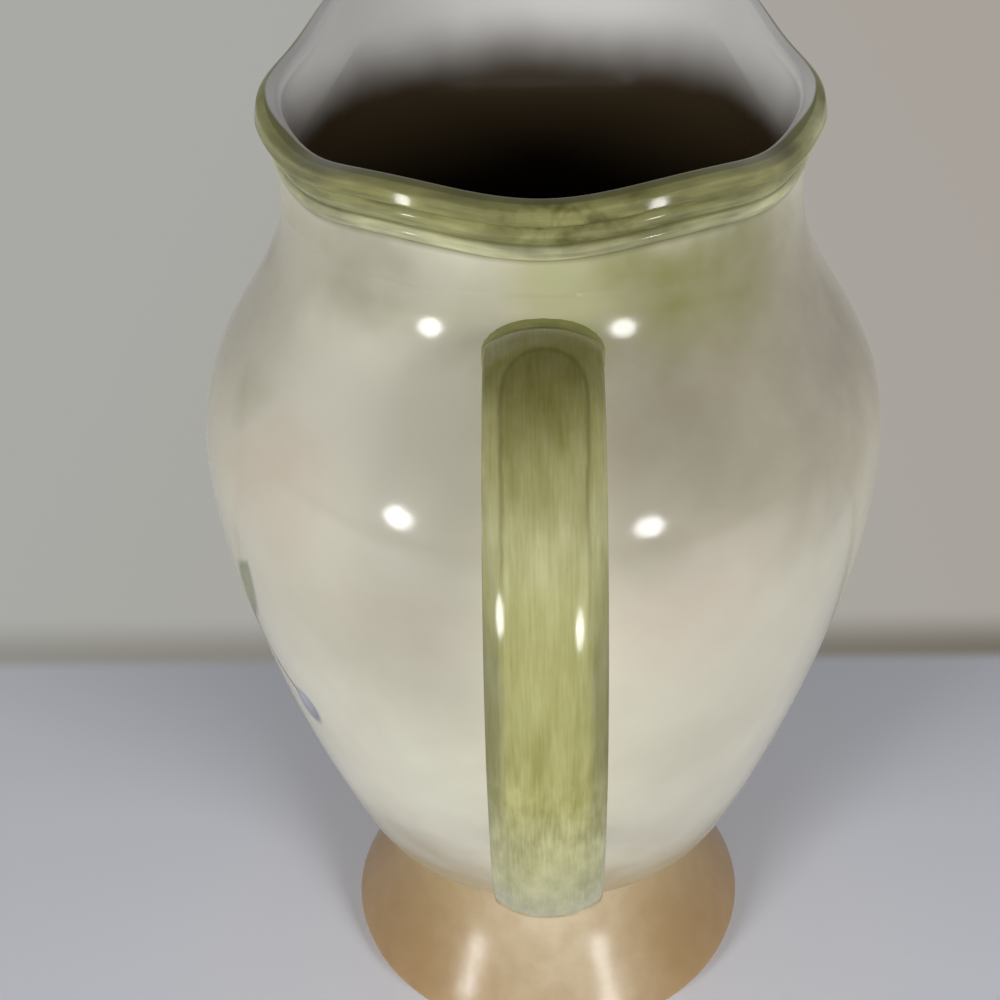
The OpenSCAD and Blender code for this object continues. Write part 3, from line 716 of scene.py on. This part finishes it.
around_steps, path_steps, strap_length = 96, 110, 210
stations = ([(upper_path, i / path_steps) for i in range(path_steps)]
            + [(lower_path, i / path_steps) for i in range(path_steps + 1)])
rings = [[strap_point(path, t, k / around_steps) for k in range(around_steps)] for path, t in stations]
handle = swept("handle_glazed", rings, {
    "across": [p[0] for ring in rings for p in ring],
    "face": [p[3] for ring in rings for p in ring],
    "way": [i * strap_length / (2 * path_steps) for i, ring in enumerate(rings) for _ in ring],
})


def strap_paint(tree, place):
    """Green slip in long brush marks, darkest at the top of the strap, partly as painted shade where it faces
    up, white where it thins out.
    """
    across = add(tree, "ShaderNodeAttribute", attribute_name="across", out=2)
    way = add(tree, "ShaderNodeAttribute", attribute_name="way", out=2)
    face = add(tree, "ShaderNodeAttribute", attribute_name="face", out=2)
    up = add(tree, "ShaderNodeSeparateXYZ", place, out=2)
    patchy = add(tree, "ShaderNodeTexNoise", place, at={"Scale": 1 / (12 * MM), "Detail": 3.0}, out=0)
    level = add(tree, MATH, patchy, 10 * MM, up, operation="MULTIPLY_ADD")
    level = add(tree, "ShaderNodeMapRange", level, 113 * MM, 213 * MM, 0.0, 1.0)
    # the stops darken towards the top: olive slip there, and partly painted shade where the strap faces up
    ramp = add(tree, "ShaderNodeValToRGB", level).node
    stops = ((0.0, "#a5a375"), (0.10, "#aaa878"), (0.18, "#acaa7a"), (0.30, "#a29f65"), (0.45, "#9d9b62"),
             (0.66, "#aba975"), (0.76, "#b2b083"), (0.84, "#999666"), (0.93, "#716e40"), (1.0, "#747145"))
    for place_on_ramp, _ in stops[1:-1]:
        ramp.color_ramp.elements.new(place_on_ramp)
    for element, (place_on_ramp, tint) in zip(ramp.color_ramp.elements, stops):
        element.position, element.color = place_on_ramp, linear(tint)
    # brush marks run down the strap: broken ones under 1 mm wide, and broad ones 3 mm wide;
    # they show most where the slip thins out towards the lower root
    marks = add(tree, "ShaderNodeCombineXYZ", across, way, face)
    narrow, broad = (add(tree, "ShaderNodeTexNoise", add(tree, VECTOR, marks, scale, operation="MULTIPLY"),
                         at={"Scale": 1.0, "Detail": 3.0}, out=0)
                     for scale in ((1 / 0.5, 1 / 7, 0.3), (1 / 3.5, 1 / 10, 0.2)))
    both = add(tree, MATH, narrow, 0.6, broad, operation="MULTIPLY_ADD")
    mark = add(tree, "ShaderNodeMapRange", both, 0.55, 1.05, 1.0, -1.0)
    contrast = add(tree, "ShaderNodeMapRange", up, 128 * MM, 160 * MM, 0.27, 0.17)
    thin = add(tree, MATH, mark, contrast, 1.0, operation="MULTIPLY_ADD")
    deep = add(tree, "ShaderNodeMapRange", mark, -1.0, 1.0, 1.14, 0.94)
    colour = add(tree, "ShaderNodeHueSaturation",
                 at={"Value": thin, "Saturation": deep, "Color": ramp.outputs[0]})
    low = add(tree, "ShaderNodeMapRange", up, 106 * MM, 126 * MM, 0.36, 0.0, interpolation_type="SMOOTHSTEP")
    pale = add(tree, "ShaderNodeMapRange", narrow, 0.45, 0.62, 0.0, 1.0)
    pale = add(tree, MATH, pale, low, operation="MULTIPLY")
    colour = add(tree, "ShaderNodeMix", pale, at={6: colour, 7: linear("#c8c9ab")}, out=2, data_type="RGBA")
    # the panel between the two softened edges starts as an arch near the upper root; the edges get painted
    # shade along the middle of the strap and a painted highlight at the top
    arch = add(tree, "ShaderNodeMapRange", way, 31.0, 44.0, 9.5, 0.0)
    side = add(tree, VECTOR, add(tree, "ShaderNodeCombineXYZ", across, arch), operation="LENGTH", out=1)
    side = add(tree, MATH, patchy, 1.6, side, operation="MULTIPLY_ADD")
    edge_band = add(tree, "ShaderNodeMapRange", side, 7.6, 9.2, 0.0, 1.0, interpolation_type="SMOOTHSTEP")
    high_shade = add(tree, "ShaderNodeMapRange", up, 165 * MM, 198 * MM, 0.62, 1.3)
    low_shade = add(tree, "ShaderNodeMapRange", up, 116 * MM, 146 * MM, 1.0, 0.62)
    shade = add(tree, MATH, high_shade, low_shade, operation="MAXIMUM")
    edge_shade_and_highlight = add(tree, "ShaderNodeHueSaturation", at={"Value": shade, "Saturation": 0.95, "Color": colour})
    colour = add(tree, "ShaderNodeMix", edge_band, at={6: colour, 7: edge_shade_and_highlight}, out=2, data_type="RGBA")
    # painted shade: a dark line along the panel's border, strongest near the top
    line = add(tree, MATH, add(tree, MATH, side, -8.0, operation="ADD"), operation="ABSOLUTE")
    strong = add(tree, "ShaderNodeMapRange", up, 165 * MM, 190 * MM, 0.12, 0.42)
    line = add(tree, "ShaderNodeMapRange", line, 0.1, 0.6, strong, 0.0, interpolation_type="SMOOTHSTEP")
    return add(tree, "ShaderNodeMix", line, at={6: colour, 7: linear("#5f5e33")}, out=2, data_type="RGBA")


handle.data.materials.append(glazed("brushed_green_strap_glaze", strap_paint))
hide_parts("handle")
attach(handle, "root")

# Slip round the handle's roots. Soft clay pushed up in a ring where the strap meets the
# bowl, smoothed with a wet finger and glazed over in olive.
slip_width, slip_edge, slip_side = 2.0, 0.3, 0.3


def root_ring(name, path, start, end, steps=36):
    """A rounded ring of slip along the strap's first millimetres outside the bowl."""
    rings = []
    for i in range(steps + 1):
        t = start + (end - start) * i / steps
        ring = []
        for k in range(around_steps):
            gap = max(0.0, clear_of_bowl(strap_point(path, t, k / around_steps)))
            share = max(0.0, 1 - gap / slip_width)
            # thinner at the strap's sides than above and below it
            share *= slip_side + (1 - slip_side) * math.sin(2 * math.pi * k / around_steps) ** 2
            ring.append(strap_point(path, t, k / around_steps, slip_edge + slip_width * share ** 1.3))
        rings.append(ring)
    return swept(name, rings, {})


def slip_reach(path, start, end):
    """Where along a path the whole strap is clear of the slip."""
    for _ in range(16):
        middle = (start + end) / 2
        least = min(clear_of_bowl(strap_point(path, middle, k / around_steps)) for k in range(around_steps))
        start, end = (middle, end) if least < slip_width else (start, middle)
    return end


def root_paint(tree, place):
    """Olive glaze pooled over the slip, greener at the top root."""
    patches = add(tree, "ShaderNodeTexNoise", place, at={"Scale": 1 / (3 * MM), "Detail": 3.0}, out=0)
    olive = add(tree, "ShaderNodeMix", patches, at={6: linear("#72723c"), 7: linear("#9b9b60")}, out=2,
                data_type="RGBA")
    up = add(tree, "ShaderNodeSeparateXYZ", place, out=2)
    lower = add(tree, "ShaderNodeMapRange", up, 110 * MM, 150 * MM, 0.85, 0.0)
    return add(tree, "ShaderNodeMix", lower, at={6: olive, 7: linear("#a9a983")}, out=2, data_type="RGBA")


root_glaze = glazed("olive_glazed_slip", root_paint)
for name, path, start, end, node in (
    ("upper_root_slip_glazed", upper_path, 0.0, slip_reach(upper_path, 0.0, 0.6), "handle_upper_slip_joint"),
    ("lower_root_slip_glazed", lower_path, 1.0, slip_reach(lower_path, 1.0, 0.4), "handle_lower_slip_joint"),
):
    root = root_ring(name, path, start, end)
    root.data.materials.append(root_glaze)
    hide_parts(node)
    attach(root, "root")

# Table and wall. A pale blue-grey table top, and the warm grey wall behind it, laid flat as
# one sheet so that nothing stands in the way of another view.
table_edge = 101 * MM
bpy.ops.mesh.primitive_plane_add(size=8.0)
table = bpy.context.object
table.name = "table_top"
table_finish = bpy.data.materials.new("pale_painted_table")
table_finish.use_nodes = True
tree = table_finish.node_tree
tree.nodes.clear()
spot = add(tree, "ShaderNodeTexCoord", out=3)
spot_x, spot_y, _ = add(tree, "ShaderNodeSeparateXYZ", spot).node.outputs
# darker far in front of the object, under the lamps, so that it doesn't burn out there
under_lamps = add(tree, "ShaderNodeMapRange", spot_y, -0.8, -0.4, 1.0, 0.0, interpolation_type="SMOOTHSTEP")
top_colour = add(tree, "ShaderNodeMix", under_lamps, at={6: linear("#f3f5ff"), 7: linear("#8f9299")}, out=2,
                 data_type="RGBA")
top_shader = add(tree, "ShaderNodeBsdfPrincipled", at={"Base Color": top_colour, "Roughness": 0.6})
sideways = add(tree, "ShaderNodeMapRange", spot_x, -0.25, 0.25, 0.0, 1.0)
wall_colour = add(tree, "ShaderNodeMix", sideways, at={6: linear("#a9aaa6"), 7: linear("#a8a29b")}, out=2,
                  data_type="RGBA")
dark_side = add(tree, "ShaderNodeMapRange", spot_x, -0.25, 0.2, 0.45, 1.0)
edge_line = add(tree, "ShaderNodeMapRange", spot_y, table_edge, table_edge + 0.024, dark_side, 0.0,
                interpolation_type="SMOOTHSTEP")
wall_colour = add(tree, "ShaderNodeMix", edge_line, at={6: wall_colour, 7: linear("#716c61")}, out=2,
                  data_type="RGBA")
rays = tree.nodes.new("ShaderNodeLightPath").outputs
seen = add(tree, MATH, rays["Is Camera Ray"], rays["Is Glossy Ray"], operation="MAXIMUM")
wall_light = add(tree, "ShaderNodeEmission", wall_colour, 1.0)
wall_plain = add(tree, "ShaderNodeBsdfDiffuse", linear("#a9aaa6"))
wall_shader = add(tree, "ShaderNodeMixShader", seen, wall_plain, wall_light)
beyond_table = add(tree, "ShaderNodeMapRange", spot_y, table_edge - 0.007, table_edge + 0.001, 0.0, 1.0,
                   interpolation_type="SMOOTHSTEP")
add(tree, "ShaderNodeOutputMaterial", add(tree, "ShaderNodeMixShader", beyond_table, top_shader, wall_shader))
table.data.materials.append(table_finish)

# Light. Two round lamps behind the camera give the round highlights, two soft lights beside
# them the shadows, and the room the rest; it is darkest overhead.
world = bpy.data.worlds.new("grey_room")
bpy.context.scene.world = world
world.use_nodes = True
tree = world.node_tree
tree.nodes.clear()
way_up = add(tree, "ShaderNodeSeparateXYZ", add(tree, "ShaderNodeTexCoord", out=0), out=2)
overhead = add(tree, "ShaderNodeMapRange", way_up, 0.0, 0.9, 0.0, 1.0)
room_grey, dark_ceiling = [0.42, 0.42, 0.42, 1.0], [0.05, 0.05, 0.05, 1.0]
room = add(tree, "ShaderNodeMix", overhead, at={6: room_grey, 7: dark_ceiling}, out=2, data_type="RGBA")
rays = tree.nodes.new("ShaderNodeLightPath").outputs
room = add(tree, "ShaderNodeMix", rays["Is Camera Ray"], at={6: room, 7: linear("#a9a9a5")}, out=2,
           data_type="RGBA")
add(tree, "ShaderNodeOutputWorld", add(tree, "ShaderNodeBackground", room, 1.0))
aim_height = 0.15  # the lamps point at the belly
for name, azimuth, elevation, distance, size, energy, glossy in (
    ("round_lamp_left", -44, 6, 1.1, 0.18, 1.5, True),
    ("round_lamp_right", 31, 6, 1.1, 0.18, 1.5, True),
    ("soft_light_left", -42, 16, 1.5, 0.5, 8.5, False),
    ("soft_light_right", 40, 16, 1.5, 0.5, 9.0, False),
):
    lamp = bpy.data.lights.new(name, "AREA")
    lamp.shape = "DISK"
    lamp.size = size
    lamp.energy = energy
    light = bpy.data.objects.new(name, lamp)
    bpy.context.scene.collection.objects.link(light)
    a, e = math.radians(azimuth), math.radians(elevation)
    light.location = (distance * math.sin(a) * math.cos(e), -distance * math.cos(a) * math.cos(e),
                      aim_height + distance * math.sin(e))
    light.rotation_euler = (math.pi / 2 - e, 0, a)
    light.visible_glossy = glossy

# Camera. Behind the pitcher and above it, looking down into the mouth as in the photo.
lens = bpy.data.cameras.new("camera")
lens.lens = 55.1
lens.sensor_width = 36
lens.shift_x = -0.0445
camera = bpy.data.objects.new("camera", lens)
bpy.context.scene.collection.objects.link(camera)
camera.location = (0, -0.3, 0.3264)
camera.rotation_mode = "QUATERNION"
pitch, roll = math.pi / 2 - 0.583, math.radians(-0.57)
camera.rotation_quaternion = (
    math.cos(pitch / 2) * math.cos(roll / 2), math.sin(pitch / 2) * math.cos(roll / 2),
    -math.sin(pitch / 2) * math.sin(roll / 2), math.cos(pitch / 2) * math.sin(roll / 2))
bpy.context.scene.camera = camera
bpy.context.scene.view_settings.view_transform = "Standard"
